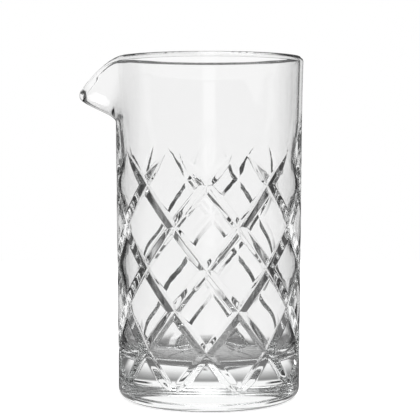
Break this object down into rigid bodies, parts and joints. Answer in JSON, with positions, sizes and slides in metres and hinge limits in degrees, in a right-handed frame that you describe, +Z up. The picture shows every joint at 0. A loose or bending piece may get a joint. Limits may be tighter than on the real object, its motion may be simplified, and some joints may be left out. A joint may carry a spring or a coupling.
{
  "type": "mixing glass",
  "caption": "Straight-sided clear mixing glass with a diamond-cut wall, a thick flat base and a beak spout, for stirring and pouring drinks over ice.",
  "frame": {"origin": "centre of the flat underside, on the glass's own axis", "axes": "+Z up the glass's axis to the rim, -X towards the spout, +Y across"},
  "size_m": [0.1038, 0.0874, 0.158],
  "materials": {
    "clear_glass": "polished clear crystal, no tint"
  },
  "bodies": {
    "root": {"heavy_base": "clear_glass", "diamond_barrel": "clear_glass", "plain_collar": "clear_glass", "pouring_spout": "clear_glass"}
  },
  "joints": []
}
